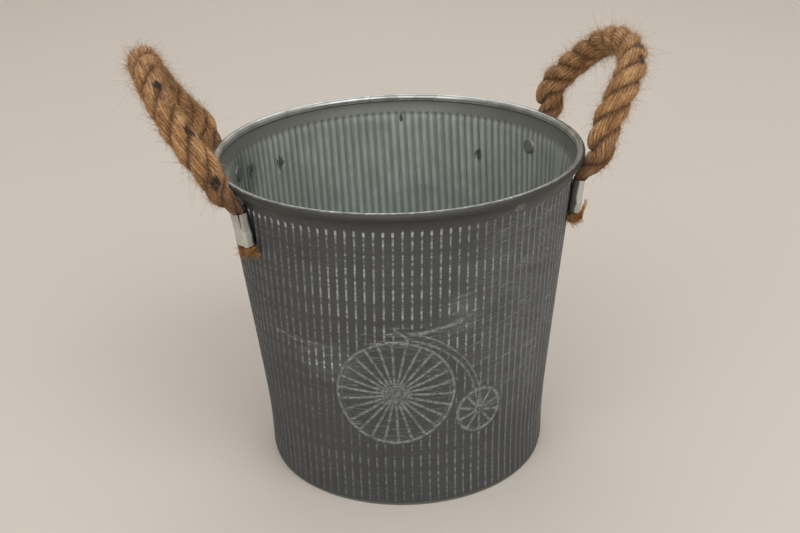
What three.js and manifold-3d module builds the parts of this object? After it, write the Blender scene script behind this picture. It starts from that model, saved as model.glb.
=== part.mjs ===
// A flared sheet-steel florist bucket with a rolled rim and two rope loop handles.
// Millimetres, +Z up. The origin is the centre of the base, on the surface that it stands on.
// +X points to the right handle, -X to the left one, and -Y is the front.

import * as THREE from "three";
import { mergeVertices } from "three/addons/utils/BufferGeometryUtils.js";
import Module from "manifold-3d";

// Driving dimensions
const HEIGHT = 186.3;
const RIM_RADIUS = 105;
const WAIST_RADIUS = 82.3; // the wall's outer radius where its lower part runs nearly straight
const FLARE = 0.113; // how far the upper wall leans outwards for each millimetre of height
const FLARE_START = 27; // height about which the straight foot turns into the flare
const FLARE_BLEND = 16; // length over which it turns
const SHEET = 0.6; // sheet-steel thickness
const GAP = 0.3; // clearance between touching pieces
const AROUND = 48; // facets around the bucket

const CURL_RADIUS = 2.3; // outside radius of the rolled rim's section
const CURL_SWEEP = THREE.MathUtils.degToRad(300);
const CURL_STEPS = 8;
const WIRE_RADIUS = 1.25;
const FLAT_BAND = 11; // height of the plain band under the rim, which flares out to meet the curl

const HEM_HEIGHT = 4; // height of the turned-up bottom edge
const FLOOR_HEIGHT = 5; // top of the base disc's outer ring
const FLOOR_STEP_RADIUS = 64; // the middle of the base disc is stamped up inside this radius
const FLOOR_STEP_HEIGHT = 1.4;
const FLOOR_STEP_RUN = 3;

const SEAM_STEP_WIDTH = 3; // tangential width of the step at a side seam
const SEAM_LAP_WIDTH = 5; // how far the front panel laps over the back one

const HANDLE_ANGLE = THREE.MathUtils.degToRad(24); // each rope leg's angle either side of the X axis
const SLEEVE_HEIGHT = 18.5;
const SLEEVE_WIDTH = 11.6;
const SLEEVE_DEPTH = 6.4;
const SLEEVE_SHEET = 0.6;
const SLEEVE_CORNER = 1.8; // outside radius of the corners of its section
const SLEEVE_Z = 162.8; // height of a sleeve's middle
const SLEEVE_LEAN = THREE.MathUtils.degToRad(7); // each sleeve's top leans towards the handle's other leg

const RIVET_HEAD_RADIUS = 4.75;
const RIVET_HEAD_THICKNESS = 1;
const RIVET_SHANK_RADIUS = 2;
const RIVET_TAIL_RADIUS = 3.1;
const RIVET_TAIL_THICKNESS = 1;
const RIVET_HEAD_GAP = 0.4;
const RIVET_RISE = 2; // how far a rivet is above its sleeve's middle

const RIGHT_ROPE_RADIUS = 8;
const LEFT_ROPE_RADIUS = 7.6; // the left rope is laid a little tighter
const ROPE_SIDES = 12;
const PIVOT_X = 104; // the handles turn about lines along Y through these points
const PIVOT_Y = 45.5;
const PIVOT_Z = 187;
const LOOP_STEPS = 20;
const END_HALF_WIDTH = 4.8; // half sizes of the crushed rope inside a sleeve
const END_HALF_DEPTH = 2.2;
const NECK_HALF_WIDTH = 7; // half sizes of the rope halfway between a sleeve and the loop
const NECK_HALF_DEPTH = 4;
const NECK_TOP_DEPTH = 5.6; // half depth of the neck's top, where its half width is the rope's radius
const NECK_TOP_BACK = 2.5; // how far the neck's top is from the pivot, inwards along X and Y
const NECK_TOP_SIDE = 1;
const NECK_TOP_GAP = 0.4; // clearance between the neck's top and the loop's ball end
const FRAY_HALF_WIDTH = 6.6; // half sizes of the frayed end, which spreads below a sleeve
const FRAY_HALF_DEPTH = 2.9;
const FRAY_LENGTH = 5.5;
const FRAY_SPREAD = 1.2; // length over which the rope spreads below a sleeve

// The loops' centrelines from the front pivot to the back one, chosen by hand: each rope leans
// outwards at its own angle and is bent a little differently.
const RIGHT_LOOP = [
  [104.0, -45.5, 187.0],
  [104.4, -46.2, 194.5],
  [107.2, -45.4, 203.5],
  [112.8, -43.0, 213.5],
  [119.6, -38.0, 223.2],
  [125.6, -30.4, 230.4],
  [129.2, -19.6, 234.8],
  [129.6, -7.0, 236.4],
  [128.4, 6.0, 235.0],
  [125.2, 17.6, 230.6],
  [120.6, 28.0, 223.2],
  [114.6, 36.6, 214.4],
  [108.2, 43.2, 205.0],
  [103.6, 46.8, 196.2],
  [104.0, 45.5, 187.0],
];
const LEFT_LOOP = [
  [-104.0, -45.5, 187.0],
  [-106.2, -46.0, 194.5],
  [-111.0, -45.0, 202.5],
  [-117.4, -41.8, 211.8],
  [-122.6, -36.6, 220.8],
  [-127.4, -29.4, 229.4],
  [-131.6, -19.8, 237.6],
  [-134.4, -8.4, 243.6],
  [-135.2, 3.0, 245.2],
  [-134.0, 13.4, 241.8],
  [-131.2, 22.2, 234.2],
  [-126.2, 31.0, 223.6],
  [-120.0, 38.6, 212.2],
  [-111.6, 44.0, 201.0],
  [-106.0, 46.0, 193.5],
  [-104.0, 45.5, 187.0],
];

const wasm = await Module();
wasm.setup();

// Materials
const paintedSteel = () => new THREE.MeshStandardMaterial({ color: 0x4b4d4e, roughness: 0.6, metalness: 0.3 });
const bareSteel = () => new THREE.MeshStandardMaterial({ color: 0x8f958f, roughness: 0.45, metalness: 0.8 });
const sleeveSteel = () => new THREE.MeshStandardMaterial({ color: 0xb5b7ae, roughness: 0.4, metalness: 0.8 });
const juteRope = () => new THREE.MeshStandardMaterial({ color: 0xa57c4e, roughness: 0.95, metalness: 0 });

// Solids

function toSolid(geometry) {
  const bare = geometry.clone();
  bare.deleteAttribute("normal");
  bare.deleteAttribute("uv");
  const merged = mergeVertices(bare, 1e-4);
  const mesh = new wasm.Mesh({
    numProp: 3,
    vertProperties: new Float32Array(merged.attributes.position.array),
    triVerts: new Uint32Array(merged.index.array),
  });
  return new wasm.Manifold(mesh);
}

function toGeometry(solid) {
  const mesh = solid.getMesh();
  const geometry = new THREE.BufferGeometry();
  geometry.setAttribute("position", new THREE.BufferAttribute(new Float32Array(mesh.vertProperties), 3));
  geometry.setIndex(new THREE.BufferAttribute(new Uint32Array(mesh.triVerts), 1));
  geometry.computeVertexNormals();
  return geometry;
}

// A closed profile of [radius, height] points, turned once round the Z axis.
function turned(profile, facets = AROUND) {
  const points = profile.map(([radius, height]) => new THREE.Vector2(radius, height));
  return new THREE.LatheGeometry(points, facets).rotateX(Math.PI / 2);
}

function box(low, high) {
  const size = high.map((value, axis) => value - low[axis]);
  const middle = high.map((value, axis) => (value + low[axis]) / 2);
  return new THREE.BoxGeometry(...size).translate(...middle);
}

function named(name, geometry, material) {
  const mesh = new THREE.Mesh(geometry, material);
  mesh.name = name;
  return mesh;
}

// The wall

function wallRadius(z) {
  const above = z - FLARE_START;
  return WAIST_RADIUS + (FLARE * (Math.hypot(above, FLARE_BLEND) + above)) / 2;
}

const curlCentre = { r: RIM_RADIUS - CURL_RADIUS, z: HEIGHT - CURL_RADIUS };
const bandBottom = HEIGHT - FLAT_BAND;
const wallHeights = [HEM_HEIGHT, 27, 50, 85, 130, bandBottom];

// Points on a circle round the curl's centre, from its inner side over the top to its tucked edge.
function curlArc(radius) {
  const points = [];
  for (let i = 0; i <= CURL_STEPS; i += 1) {
    const angle = Math.PI - (CURL_SWEEP * i) / CURL_STEPS;
    points.push([curlCentre.r + radius * Math.cos(angle), curlCentre.z + radius * Math.sin(angle)]);
  }
  return points;
}

// The sheet runs from the turned-up hem at the bottom, up the wall, and round the rolled rim.
function wallProfile() {
  const footRadius = wallRadius(0);
  const channelOuter = footRadius - SHEET;
  const channelInner = channelOuter - SHEET - 2 * GAP;
  const outside = wallHeights.map((z) => [wallRadius(z), z]);
  const inside = wallHeights.map((z) => [wallRadius(z) - SHEET, z]);
  const profile = [
    [footRadius, 0],
    ...outside,
    ...curlArc(CURL_RADIUS - SHEET),
    ...curlArc(CURL_RADIUS).reverse(),
    ...inside.reverse(),
    [channelOuter, SHEET],
    [channelInner, SHEET],
    [channelInner, HEM_HEIGHT],
    [channelInner - SHEET, HEM_HEIGHT],
    [channelInner - SHEET, 0],
  ];
  profile.push(profile[0]);
  return profile;
}

// A band between two offsets from the wall's outer face, as high as the seams.
function seamBand(from, to) {
  const heights = [SHEET + HEM_HEIGHT, ...wallHeights.slice(1, -1), bandBottom - GAP];
  const outer = heights.map((z) => [wallRadius(z) + to, z]);
  const inner = heights.map((z) => [wallRadius(z) + from, z]);
  const profile = [...outer, ...inner.reverse(), outer[0]];
  return toSolid(turned(profile));
}

const beyond = RIM_RADIUS + 10;
const wholeWall = toSolid(turned(wallProfile()));

function slab(yLow, yHigh) {
  return toSolid(box([-beyond, yLow, -1], [beyond, yHigh, HEIGHT + 1]));
}

function withRivetHoles(wall, side) {
  let holed = wall;
  for (const place of clipPlaces.filter((candidate) => candidate.ySign === side)) {
    const drill = new THREE.CylinderGeometry(RIVET_SHANK_RADIUS + GAP, RIVET_SHANK_RADIUS + GAP, 10, 12);
    drill.rotateZ(Math.PI / 2).translate(0, 0, RIVET_RISE);
    drill.applyMatrix4(place.matrix);
    holed = holed.subtract(toSolid(drill));
  }
  return holed;
}

// The front panel ends in a step out over the back panel's edge, and a lap that lies on it.
function frontPanel() {
  const half = wholeWall.intersect(slab(-beyond, 0));
  const step = seamBand(-SHEET, GAP + SHEET).intersect(slab(-SEAM_STEP_WIDTH, 0));
  const lap = seamBand(GAP, GAP + SHEET).intersect(slab(-SEAM_STEP_WIDTH, SEAM_LAP_WIDTH));
  return toGeometry(withRivetHoles(half.add(step).add(lap), -1));
}

function backPanel() {
  return toGeometry(withRivetHoles(wholeWall.intersect(slab(GAP, beyond)), 1));
}

// The base: a pan with its edge turned down into the hem, and its middle stamped up.
function baseDisc() {
  const edge = wallRadius(0) - SHEET - GAP;
  const top = FLOOR_HEIGHT;
  const raised = FLOOR_HEIGHT + FLOOR_STEP_HEIGHT;
  const stepOuter = FLOOR_STEP_RADIUS + FLOOR_STEP_RUN;
  const profile = [
    [0, raised - SHEET],
    [FLOOR_STEP_RADIUS, raised - SHEET],
    [stepOuter, top - SHEET],
    [edge - SHEET, top - SHEET],
    [edge - SHEET, SHEET + GAP],
    [edge, SHEET + GAP],
    [edge, top],
    [stepOuter, top],
    [FLOOR_STEP_RADIUS, raised],
    [0, raised],
  ];
  return turned(profile);
}

function rimWire() {
  return new THREE.TorusGeometry(curlCentre.r, WIRE_RADIUS, 8, AROUND).translate(0, 0, curlCentre.z);
}

// Clips. A clip's own frame has its origin on the wall's outer face, X along the wall's normal,
// Y along the rim and Z up the wall.

function clipPlace(xSign, ySign) {
  const place = new THREE.Object3D();
  const azimuth = Math.atan2(ySign * Math.sin(HANDLE_ANGLE), xSign * Math.cos(HANDLE_ANGLE));
  const slope = (wallRadius(SLEEVE_Z + 1) - wallRadius(SLEEVE_Z - 1)) / 2;
  const radius = wallRadius(SLEEVE_Z);
  place.rotation.order = "ZYX";
  place.rotation.set(xSign * ySign * SLEEVE_LEAN, Math.atan(slope), azimuth);
  place.position.set(radius * Math.cos(azimuth), radius * Math.sin(azimuth), SLEEVE_Z);
  place.updateMatrix();
  const name = `${xSign > 0 ? "right" : "left"}_${ySign > 0 ? "back" : "front"}`;
  return { name, xSign, ySign, matrix: place.matrix, position: place.position, rotation: place.rotation };
}

const clipPlaces = [
  clipPlace(1, -1),
  clipPlace(1, 1),
  clipPlace(-1, -1),
  clipPlace(-1, 1),
];

// A rectangular outline with round corners, width along Y and depth along X.
function roundedRectangle(Kind, width, depth, radius) {
  const outline = new Kind();
  const x = depth / 2 - radius;
  const y = width / 2 - radius;
  const quarter = Math.PI / 2;
  outline.absarc(x, y, radius, 0, quarter, false);
  outline.absarc(-x, y, radius, quarter, 2 * quarter, false);
  outline.absarc(-x, -y, radius, 2 * quarter, 3 * quarter, false);
  outline.absarc(x, -y, radius, 3 * quarter, 4 * quarter, false);
  outline.closePath();
  return outline;
}

// A short crimped tube of sheet, open at both ends.
function sleeve() {
  const outline = roundedRectangle(THREE.Shape, SLEEVE_WIDTH, SLEEVE_DEPTH, SLEEVE_CORNER);
  const boreWidth = SLEEVE_WIDTH - 2 * SLEEVE_SHEET;
  const boreDepth = SLEEVE_DEPTH - 2 * SLEEVE_SHEET;
  outline.holes.push(roundedRectangle(THREE.Path, boreWidth, boreDepth, SLEEVE_CORNER - SLEEVE_SHEET));
  const tube = new THREE.ExtrudeGeometry(outline, { depth: SLEEVE_HEIGHT, bevelEnabled: false, curveSegments: 3 });
  tube.translate(GAP + SLEEVE_DEPTH / 2, 0, -SLEEVE_HEIGHT / 2);
  const drill = new THREE.CylinderGeometry(RIVET_SHANK_RADIUS + GAP, RIVET_SHANK_RADIUS + GAP, SLEEVE_DEPTH, 12);
  drill.rotateZ(Math.PI / 2).translate(0, 0, RIVET_RISE);
  return toGeometry(toSolid(tube).subtract(toSolid(drill)));
}

const rivetTailStart = GAP + SLEEVE_SHEET + GAP;

// A flat head inside the bucket, a shank through wall and sleeve, and an upset tail in the sleeve.
function rivet() {
  const headTop = -SHEET - RIVET_HEAD_GAP;
  const headBottom = headTop - RIVET_HEAD_THICKNESS;
  const tailEnd = rivetTailStart + RIVET_TAIL_THICKNESS;
  const profile = [
    [0, headBottom],
    [RIVET_HEAD_RADIUS * 0.8, headBottom],
    [RIVET_HEAD_RADIUS, headTop - RIVET_HEAD_THICKNESS / 2],
    [RIVET_HEAD_RADIUS, headTop],
    [RIVET_SHANK_RADIUS, headTop],
    [RIVET_SHANK_RADIUS, rivetTailStart],
    [RIVET_TAIL_RADIUS, rivetTailStart],
    [RIVET_TAIL_RADIUS, tailEnd],
    [0, tailEnd],
  ];
  return turned(profile, 16).rotateY(Math.PI / 2).translate(0, 0, RIVET_RISE);
}

// Rope

// A closed body lofted through sections, each with a centre and two half-axis vectors.
function lofted(sections) {
  const geometry = new THREE.CylinderGeometry(1, 1, 1, ROPE_SIDES, sections.length - 1);
  const position = geometry.attributes.position;
  const point = new THREE.Vector3();
  for (let i = 0; i < position.count; i += 1) {
    point.fromBufferAttribute(position, i);
    const section = sections[Math.round((point.y + 0.5) * (sections.length - 1))];
    const moved = section.centre.clone();
    moved.addScaledVector(section.across, point.x);
    moved.addScaledVector(section.along, point.z);
    position.setXYZ(i, moved.x, moved.y, moved.z);
  }
  return geometry;
}

// The fixed end of a rope: crushed in its sleeve, frayed below it, and swelling above it to meet
// the loop's round end. Its sections are in the clip's frame.
function ropeEnd(place) {
  const middle = GAP + SLEEVE_DEPTH / 2;
  const halfHeight = SLEEVE_HEIGHT / 2;
  const pivot = new THREE.Vector3(place.xSign * PIVOT_X, place.ySign * PIVOT_Y, PIVOT_Z);
  const radius = place.xSign > 0 ? RIGHT_ROPE_RADIUS : LEFT_ROPE_RADIUS;
  const topPlane = PIVOT_Z - radius - NECK_TOP_GAP;
  const topX = pivot.x - place.xSign * NECK_TOP_BACK;
  const top = new THREE.Vector3(topX, pivot.y - place.ySign * NECK_TOP_SIDE, topPlane);
  const inverse = place.matrix.clone().invert();
  const toClip = (world) => world.clone().applyMatrix4(inverse);
  const turnToClip = (direction) => direction.clone().transformDirection(inverse);
  const outward = turnToClip(new THREE.Vector3(pivot.x, pivot.y, 0).normalize());
  const sideways = turnToClip(new THREE.Vector3(-pivot.y, pivot.x, 0).normalize());
  const section = (centre, across, depth, along, width) => ({
    centre,
    across: across.clone().multiplyScalar(depth),
    along: along.clone().multiplyScalar(-width),
  });
  const x = new THREE.Vector3(1, 0, 0);
  const y = new THREE.Vector3(0, 1, 0);
  const flat = (z, depth, width) => section(new THREE.Vector3(middle, 0, z), x, depth, y, width);
  const sleeveTop = new THREE.Vector3(middle, 0, halfHeight);
  const end = toClip(top);
  const neck = sleeveTop.clone().lerp(end, 0.5);
  const sections = [
    flat(-halfHeight - FRAY_LENGTH, FRAY_HALF_DEPTH, FRAY_HALF_WIDTH),
    flat(-halfHeight - FRAY_SPREAD, FRAY_HALF_DEPTH, FRAY_HALF_WIDTH),
    flat(-halfHeight, END_HALF_DEPTH, END_HALF_WIDTH),
    flat(halfHeight, END_HALF_DEPTH, END_HALF_WIDTH),
    section(neck, outward, NECK_HALF_DEPTH, sideways, NECK_HALF_WIDTH),
    section(end, outward, NECK_TOP_DEPTH, sideways, radius),
  ];
  const pocketRadius = RIVET_TAIL_RADIUS + GAP;
  const pocketEnd = rivetTailStart + RIVET_TAIL_THICKNESS + GAP;
  const pocket = new THREE.CylinderGeometry(pocketRadius, pocketRadius, pocketEnd, 16);
  pocket.rotateZ(Math.PI / 2).translate(pocketEnd / 2, 0, RIVET_RISE);
  return toGeometry(toSolid(lofted(sections)).subtract(toSolid(pocket)));
}

// The free loop of a handle, with a ball at each end centred on the line that it turns about.
function ropeLoop(route, radius) {
  const points = route.map((point) => new THREE.Vector3(...point));
  const path = new THREE.CatmullRomCurve3(points, false, "centripetal");
  const circle = new THREE.Shape();
  for (let i = 0; i < ROPE_SIDES; i += 1) {
    const angle = (2 * Math.PI * i) / ROPE_SIDES;
    const move = i === 0 ? "moveTo" : "lineTo";
    circle[move](radius * Math.cos(angle), radius * Math.sin(angle));
  }
  circle.closePath();
  const options = { steps: LOOP_STEPS, bevelEnabled: false, extrudePath: path };
  let loop = toSolid(new THREE.ExtrudeGeometry(circle, options));
  for (const end of [points[0], points[points.length - 1]]) {
    const ball = new THREE.SphereGeometry(radius, 12, 8);
    loop = loop.add(toSolid(ball.translate(end.x, end.y, end.z)));
  }
  return toGeometry(loop);
}

// Assembly

const bucket = new THREE.Group();
bucket.add(named("front_panel", frontPanel(), paintedSteel()));
bucket.add(named("back_panel", backPanel(), paintedSteel()));
bucket.add(named("base_disc", baseDisc(), bareSteel()));
bucket.add(named("rim_wire", rimWire(), bareSteel()));

for (const place of clipPlaces) {
  const clip = new THREE.Group();
  clip.rotation.copy(place.rotation);
  clip.position.copy(place.position);
  clip.add(named(`sleeve_${place.name}`, sleeve(), sleeveSteel()));
  clip.add(named(`rivet_${place.name}`, rivet(), sleeveSteel()));
  clip.add(named(`rope_end_${place.name}`, ropeEnd(place), juteRope()));
  bucket.add(clip);
}

bucket.add(named("rope_loop_right", ropeLoop(RIGHT_LOOP, RIGHT_ROPE_RADIUS), juteRope()));
bucket.add(named("rope_loop_left", ropeLoop(LEFT_LOOP, LEFT_ROPE_RADIUS), juteRope()));

export default bucket;
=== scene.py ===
from math import atan, atan2, cos, exp, hypot, pi, radians, sin, tan

import bpy
import numpy as np
from mathutils import Matrix, Vector


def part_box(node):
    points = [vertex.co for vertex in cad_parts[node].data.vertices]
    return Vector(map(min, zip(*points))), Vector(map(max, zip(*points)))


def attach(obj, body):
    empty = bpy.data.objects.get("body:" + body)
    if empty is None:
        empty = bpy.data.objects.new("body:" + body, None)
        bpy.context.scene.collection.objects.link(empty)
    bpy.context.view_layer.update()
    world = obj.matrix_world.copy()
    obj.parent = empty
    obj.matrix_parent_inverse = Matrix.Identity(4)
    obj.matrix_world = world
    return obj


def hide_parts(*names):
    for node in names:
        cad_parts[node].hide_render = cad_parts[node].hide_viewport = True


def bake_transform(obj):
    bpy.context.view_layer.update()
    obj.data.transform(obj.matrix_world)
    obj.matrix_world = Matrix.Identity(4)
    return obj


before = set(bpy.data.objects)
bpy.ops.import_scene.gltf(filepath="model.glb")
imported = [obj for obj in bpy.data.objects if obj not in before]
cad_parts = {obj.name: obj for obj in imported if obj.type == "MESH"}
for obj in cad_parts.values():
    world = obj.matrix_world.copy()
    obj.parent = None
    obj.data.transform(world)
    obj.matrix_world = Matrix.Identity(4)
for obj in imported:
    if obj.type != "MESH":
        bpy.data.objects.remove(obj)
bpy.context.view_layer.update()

# A florist bucket: two ribbed sheet-steel panels with a rolled rim, an embossed picture of a
# high-wheel cycle on the front, and two three-strand jute handles clamped in metal sleeves.
# Sizes are in millimetres in this script and become metres when a mesh is made.

MM = 0.001
PANEL_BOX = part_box("front_panel")
HEIGHT = PANEL_BOX[1].z / MM
RIM_RADIUS = 105.0

# The wall's outline, as in the CAD source
WAIST_RADIUS = 82.3
FLARE = 0.113
FLARE_START = 27.0
FLARE_BLEND = 16.0
CURL_RADIUS = 2.3
CURL_R = RIM_RADIUS - CURL_RADIUS
CURL_Z = HEIGHT - CURL_RADIUS
BAND_BOTTOM = 175.3

SHEET = 0.5
RIB_PITCH = 4.92
RIB_HALF_WIDTH = 1.3
RIB_HEIGHT = 0.8
INNER_RIB_HALF_WIDTH = 2.2
INNER_RIB_HEIGHT = 0.62
SEAM_LAP = 5.0
SEAM_GAP = 0.15
FRONT_LINE, BACK_LINE = radians(-86), radians(94)
EMBOSS = 0.65

# Clips and rope
HANDLE_ANGLE = radians(24)
SLEEVE_Z = 162.8
SLEEVE_HEIGHT = 18.5
SLEEVE_WIDTH = 11.6
SLEEVE_DEPTH = 6.4
SLEEVE_CORNER = 1.8
SLEEVE_GAP = 0.3
SLEEVE_SHEET = 0.6
SLEEVE_LEAN = radians(7)
SLEEVE_MIDDLE = SLEEVE_GAP + SLEEVE_DEPTH / 2
SLEEVE_HALF = SLEEVE_HEIGHT / 2
RIVET_RISE = 2.0
ROPE_TAIL = 5.5
RIGHT_ROPE_RADIUS = 8.0
LEFT_ROPE_RADIUS = 7.6
LAY_LENGTH = 41.0
YARN_LAY = 26.0
PIVOT_X, PIVOT_Z = 104.0, 187.0
RIM_GAP, WALL_GAP = 0.2, 0.15  # between the rope and the metal
STRANDS = 3
STRAND_OFFSET = 0.44  # of the rope's radius
STRAND_RADIUS = 0.57
YARNS = 17
YARN_SAMPLES = 5
STRAND_COLUMNS = YARNS * YARN_SAMPLES
YARN_LOBE = 0.55
FUZZ_COUNT = 9000
STRAY_COUNT = 9
FUZZ_FREE_Z = 202.0  # below it, fibres grow only on the side away from the rim
FRAYED_COUNT, TUFT_COUNT = 900, 26

# The routes of the two loops, from one sleeve to the other
RIGHT_LOOP = [
    (104.0, -45.5, 187.0), (104.4, -46.2, 194.5), (107.2, -45.4, 203.5),
    (112.8, -43.0, 213.5), (119.6, -38.0, 223.2), (125.6, -30.4, 230.4),
    (129.2, -19.6, 234.8), (129.6, -7.0, 236.4), (128.4, 6.0, 235.0),
    (125.2, 17.6, 230.6), (120.6, 28.0, 223.2), (114.6, 36.6, 214.4),
    (108.2, 43.2, 205.0), (103.6, 46.8, 196.2), (104.0, 45.5, 187.0),
]
LEFT_LOOP = [
    (-104.0, -45.5, 187.0), (-106.2, -46.0, 194.5), (-111.0, -45.0, 202.5),
    (-117.4, -41.8, 211.8), (-122.6, -36.6, 220.8), (-127.4, -29.4, 229.4),
    (-131.6, -19.8, 237.6), (-134.4, -8.4, 243.6), (-135.2, 3.0, 245.2),
    (-134.0, 13.4, 241.8), (-131.2, 22.2, 234.2), (-126.2, 31.0, 223.6),
    (-120.0, 38.6, 212.2), (-111.6, 44.0, 201.0), (-106.0, 46.0, 193.5),
    (-104.0, 45.5, 187.0),
]


# ---- camera

def turned(angle, axis):
    return Matrix.Rotation(angle, 4, axis)


def make_camera():
    """The view from the front, above the rim, with the bucket turned so that +X points a little back."""
    data = bpy.data.cameras.new("camera")
    data.lens = 56.16
    camera = bpy.data.objects.new("camera", data)
    bpy.context.scene.collection.objects.link(camera)
    pitch, yaw, roll, turn_of_bucket = np.radians([24.17, -0.09, -2.02, -10.2])
    place = Matrix.Translation(Vector((0, -670.35, 412.37)) * MM)
    aim = turned(-yaw, "Z") @ turned(pi / 2 - pitch, "X") @ turned(roll, "Z")
    camera.matrix_world = turned(turn_of_bucket, "Z") @ place @ aim
    bpy.context.scene.camera = camera


# ---- small maths

def smoothstep(low, high, value):
    t = np.clip((np.asarray(value, float) - low) / (high - low), 0, 1)
    return t * t * (3 - 2 * t)


def unit(vectors):
    vectors = np.asarray(vectors, float)
    return vectors / np.linalg.norm(vectors, axis=-1, keepdims=True)


def wavy(value, seed):
    """A smooth, seeded wobble between about -1 and 1, made of sines."""
    rng = np.random.default_rng(seed)
    value = np.asarray(value, float)
    total = np.zeros_like(value)
    for octave in range(3):
        frequency = 2.0**octave * rng.uniform(0.8, 1.25)
        total += np.sin(value * frequency + rng.uniform(0, 2 * pi)) / 1.6**octave
    return total / 1.9


# ---- meshes

def make_object(name, points, faces, materials, material_index=None, attributes=None):
    """A smooth-shaded mesh object from points in millimetres."""
    mesh = bpy.data.meshes.new(name)
    mesh.from_pydata((np.asarray(points, float) * MM).tolist(), [], faces)
    for material in materials:
        mesh.materials.append(material)
    if material_index is not None:
        mesh.polygons.foreach_set("material_index", np.asarray(material_index, np.int32))
    mesh.polygons.foreach_set("use_smooth", np.ones(len(mesh.polygons), bool))
    for key, values in (attributes or {}).items():
        layer = mesh.attributes.new(key, "FLOAT_VECTOR", "POINT")
        layer.data.foreach_set("vector", np.asarray(values, np.float32).ravel())
    mesh.update()
    obj = bpy.data.objects.new(name, mesh)
    bpy.context.scene.collection.objects.link(obj)
    return obj


def lathe(name, profile, material, segments=160, smooth_angle=35.0):
    """A profile of (radius, height) points turned round the Z axis. Ends on the axis close there."""
    points, rings = [], []
    for radius, height in profile:
        start, on_axis = len(points), radius < 1e-6
        rings.append([start] * segments if on_axis else range(start, start + segments))
        for i in range(1 if on_axis else segments):
            angle = 2 * pi * i / segments
            points.append((radius * cos(angle), radius * sin(angle), height))
    faces = []
    for low, high in zip(rings, rings[1:]):
        for i in range(segments):
            j = (i + 1) % segments
            faces.append(face_of(low[i], low[j], high[j], high[i]))
    obj = make_object(name, points, faces, [material])
    sharpen(obj, smooth_angle)
    return obj


def face_of(*corners):
    """A face with each corner once, so a quad with two corners in one place becomes a triangle."""
    return list(dict.fromkeys(int(corner) for corner in corners))


def tube_faces(rings, around, closed):
    """Quads between neighbouring rings of points, and from the last ring to the first if closed."""
    faces = []
    for i in range(rings if closed else rings - 1):
        low, high = i * around, (i + 1) % rings * around
        for k in range(around):
            m = (k + 1) % around
            faces.append((low + k, low + m, high + m, high + k))
    return faces


def closed_tubes(count, rings, around):
    """Faces of this many tubes with flat ends, whose points follow one another."""
    one = tube_faces(rings, around, False)
    one += [list(range(around))[::-1], [(rings - 1) * around + k for k in range(around)]]
    return [[v + number * rings * around for v in face] for number in range(count) for face in one]


def sharpen(obj, angle):
    """Keeps edges over this angle, in degrees, sharp under smooth shading."""
    obj.data.set_sharp_from_angle(angle=radians(angle))


# ---- materials

class Value:
    """One output of a node. Arithmetic on it makes math nodes."""

    def __init__(self, nodes, socket):
        self.nodes = nodes
        self.socket = socket

    def __add__(self, other):
        return self.nodes.math("ADD", self, other)

    def __sub__(self, other):
        return self.nodes.math("SUBTRACT", self, other)

    def __mul__(self, other):
        return self.nodes.math("MULTIPLY", self, other)

    def __truediv__(self, other):
        return self.nodes.math("DIVIDE", self, other)

    def __abs__(self):
        return self.nodes.math("ABSOLUTE", self)


class Nodes:
    """A short way to write a material's node tree."""

    def __init__(self, name):
        self.material = bpy.data.materials.new(name)
        self.material.use_nodes = True
        self.tree = self.material.node_tree

    def link(self, value, socket):
        if isinstance(value, Value):
            self.tree.links.new(value.socket, socket)
        else:
            socket.default_value = value

    def add(self, kind, inputs, **settings):
        node = self.tree.nodes.new(kind)
        for key, value in settings.items():
            setattr(node, key, value)
        for socket, value in inputs.items():
            self.link(value, node.inputs[socket])
        return node

    def output(self, kind, name, inputs, **settings):
        return Value(self, self.add(kind, inputs, **settings).outputs[name])

    def math(self, operation, a, b=0):
        return self.output("ShaderNodeMath", 0, {0: a, 1: b}, operation=operation)

    def most(self, first, *others):
        """The largest of several values."""
        for other in others:
            first = self.math("MAXIMUM", first, other)
        return first

    def step(self, value, low, high, out_low=0, out_high=1):
        inputs = {"Value": value, "From Min": low, "From Max": high, "To Min": out_low, "To Max": out_high}
        return self.output("ShaderNodeMapRange", "Result", inputs, interpolation_type="SMOOTHSTEP")

    def attribute(self, name):
        vector = self.output("ShaderNodeAttribute", "Vector", {}, attribute_name=name)
        split = self.add("ShaderNodeSeparateXYZ", {0: vector})
        return [Value(self, part) for part in split.outputs]

    def position(self):
        return self.output("ShaderNodeTexCoord", "Object", {})

    def noise(self, vector, scale, detail=3, roughness=0.5):
        inputs = {"Vector": vector, "Scale": scale, "Detail": detail, "Roughness": roughness}
        return self.output("ShaderNodeTexNoise", "Fac", inputs)

    def stretched(self, x, y, x_scale, y_scale, detail=3, roughness=0.5, offset=0):
        """Noise over a sheet's two lengths, with its own scale along each."""
        place = self.output("ShaderNodeCombineXYZ", 0, {0: x * x_scale, 1: y * y_scale, 2: offset})
        return self.noise(place, 1, detail, roughness)

    def blob(self, s, z, middle_s, middle_z, half_width, half_height):
        """A soft ellipse on a sheet: 1 in its middle, 0 from its outline outwards."""
        x, y = (s - middle_s) / half_width, (z - middle_z) / half_height
        return self.step(x * x + y * y, 1, 0)

    def mix(self, factor, a, b):
        return self.output("ShaderNodeMix", 2, {"Factor": factor, 6: a, 7: b}, data_type="RGBA")

    def coats(self, colour, *coats):
        """The colour under coats of others, each with how much it covers and its sRGB values."""
        for cover, coat in coats:
            colour = self.mix(cover, colour, rgb(*coat))
        return colour

    def bump(self, height, distance, strength):
        inputs = {"Height": height, "Distance": distance * MM, "Strength": strength}
        return self.output("ShaderNodeBump", "Normal", inputs)

    def finish(self, **inputs):
        shader = self.tree.nodes["Principled BSDF"]
        for key, value in inputs.items():
            self.link(value, shader.inputs[key.replace("_", " ")])
        return self.material


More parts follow.
